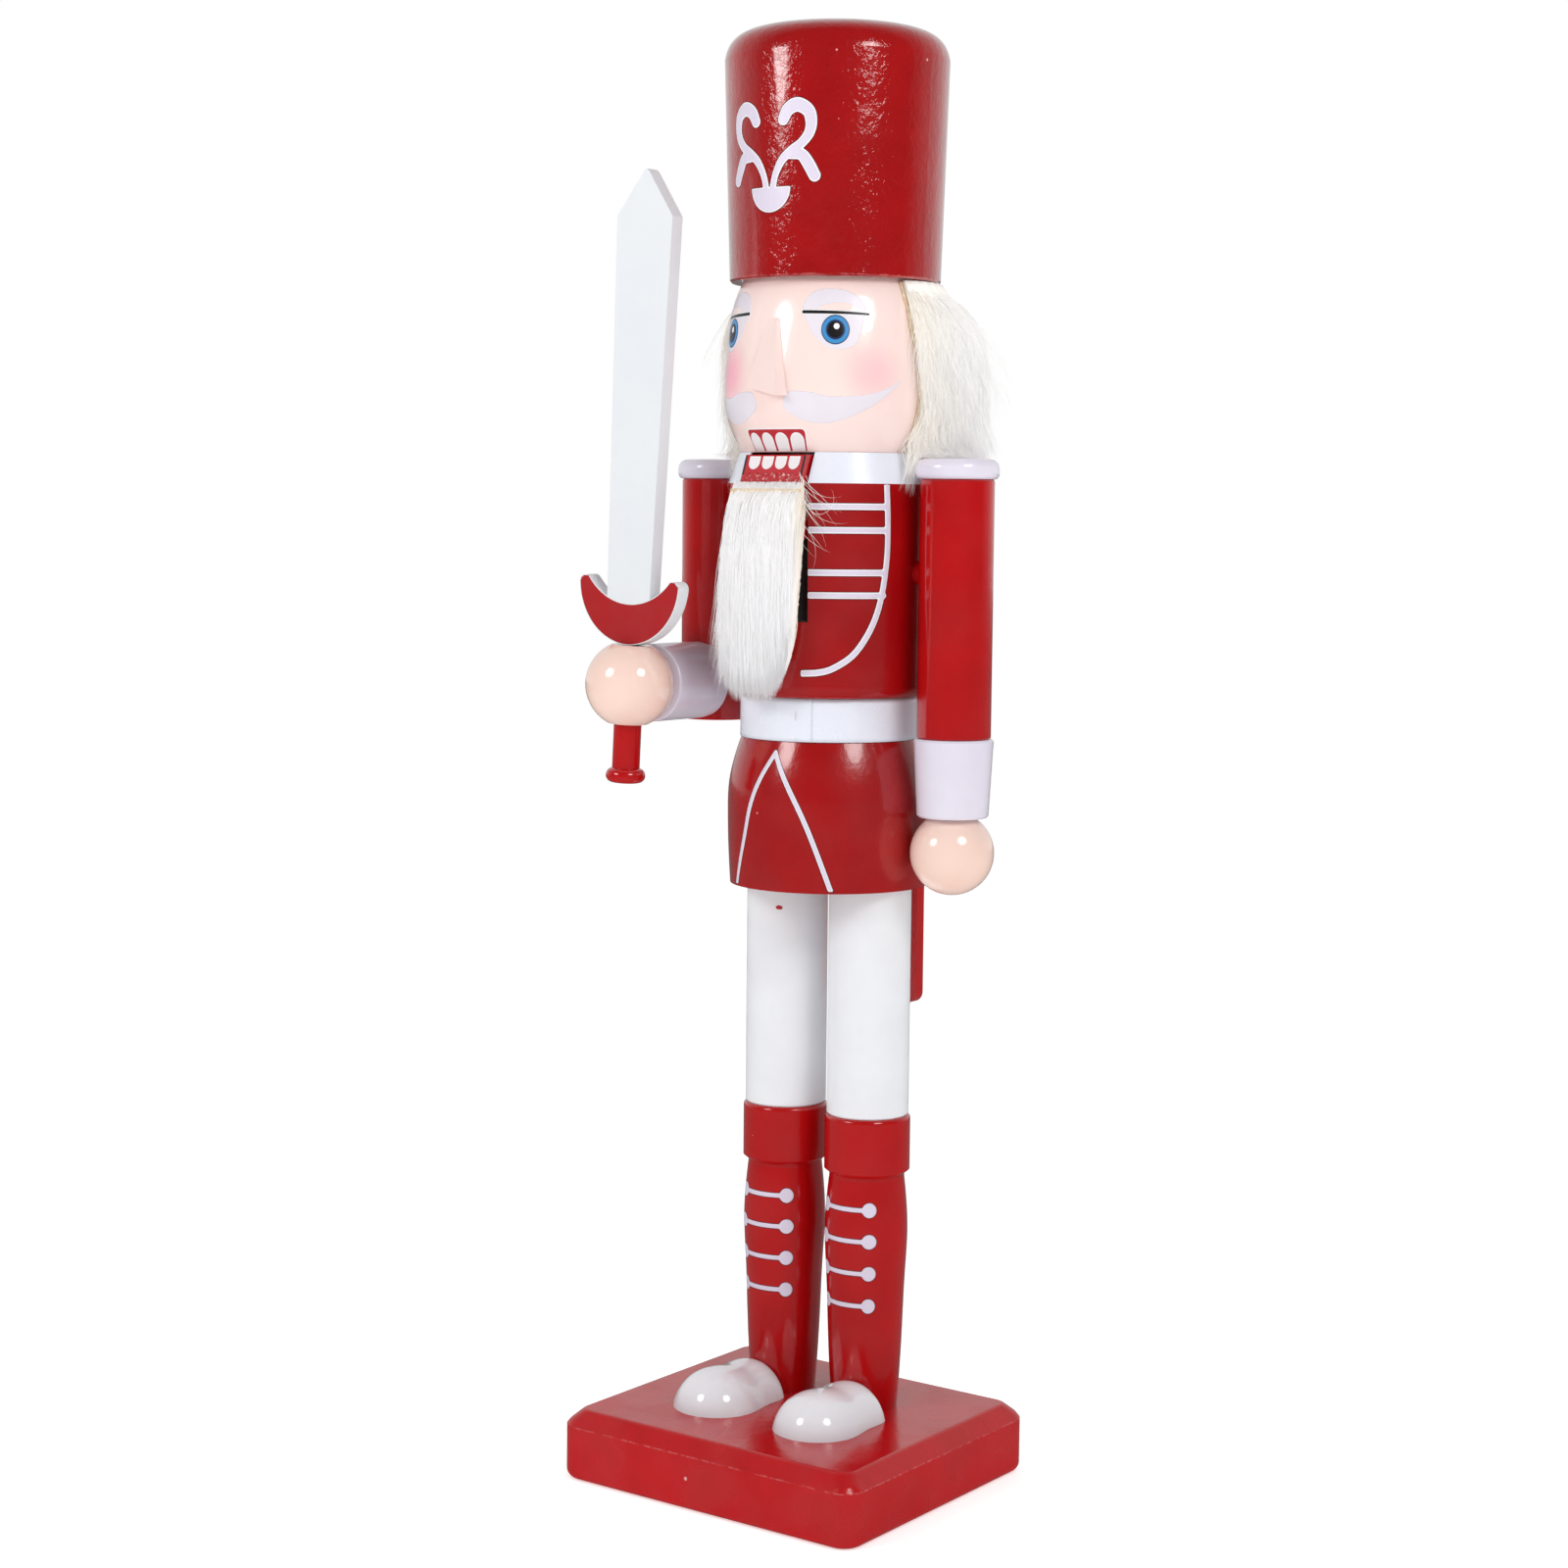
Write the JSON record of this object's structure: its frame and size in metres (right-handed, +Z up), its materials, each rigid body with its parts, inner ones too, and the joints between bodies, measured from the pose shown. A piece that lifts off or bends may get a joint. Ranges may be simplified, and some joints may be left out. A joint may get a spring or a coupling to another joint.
{
  "type": "nutcracker figure",
  "caption": "Standing wooden soldier nutcracker on a bevelled plinth, with fur hair and beard, a raised sword and a jaw worked by a lever at the back.",
  "frame": {"origin": "centre of the plinth's underside", "axes": "+Z up, the figure faces -Y, its left arm on +X; its own axis stands 13 mm behind the plinth's centre"},
  "size_m": [0.1035, 0.0934, 0.3818],
  "materials": {
    "red_enamel": "gloss enamel over sealed wood",
    "white_satin": "satin white paint on wood",
    "white_gloss": "gloss white enamel on wood",
    "lavender_enamel": "gloss lavender white enamel on wood",
    "flesh_enamel": "satin flesh paint on wood",
    "hand_enamel": "gloss flesh enamel on wood",
    "bare_wood": "bare beech dowel",
    "white_strip": "smooth white vinyl strip",
    "fur": "long white pile on tan backing",
    "steel": "plain steel"
  },
  "bodies": {
    "figure": {"base_plinth": "red_enamel", "base_screws": "steel", "left_boot": "red_enamel", "right_boot": "red_enamel", "left_trouser_leg": "white_satin", "right_trouser_leg": "white_satin", "knee_dowels": "bare_wood", "hip_dowels": "bare_wood", "left_shoe": "white_gloss", "right_shoe": "white_gloss", "torso": "red_enamel", "belt_band": "white_strip", "collar_band": "white_strip", "pivot_pin": "steel", "neck_dowels": "bare_wood", "head": "flesh_enamel", "nose": "flesh_enamel", "hat": "red_enamel", "hat_dowel": "bare_wood", "hair": "fur", "left_epaulette": "lavender_enamel", "right_epaulette": "lavender_enamel", "left_sleeve": "red_enamel", "right_sleeve": "red_enamel", "left_cuff": "lavender_enamel", "right_cuff": "lavender_enamel", "left_hand": "hand_enamel", "right_hand": "hand_enamel", "shoulder_dowels": "bare_wood", "left_wrist_dowel": "bare_wood", "right_wrist_dowel": "bare_wood", "sword_blade": "white_satin", "sword_grip": "red_enamel"},
    "jaw": {"jaw_lever": "red_enamel", "beard": "fur"}
  },
  "joints": [
    {"name": "jaw_hinge", "type": "hinge", "parent": "figure", "child": "jaw", "pos_m": [0, 0.028, 0.2558], "axis": [1, 0, 0], "range_deg": [0, 15], "deforming": ["beard"]}
  ]
}
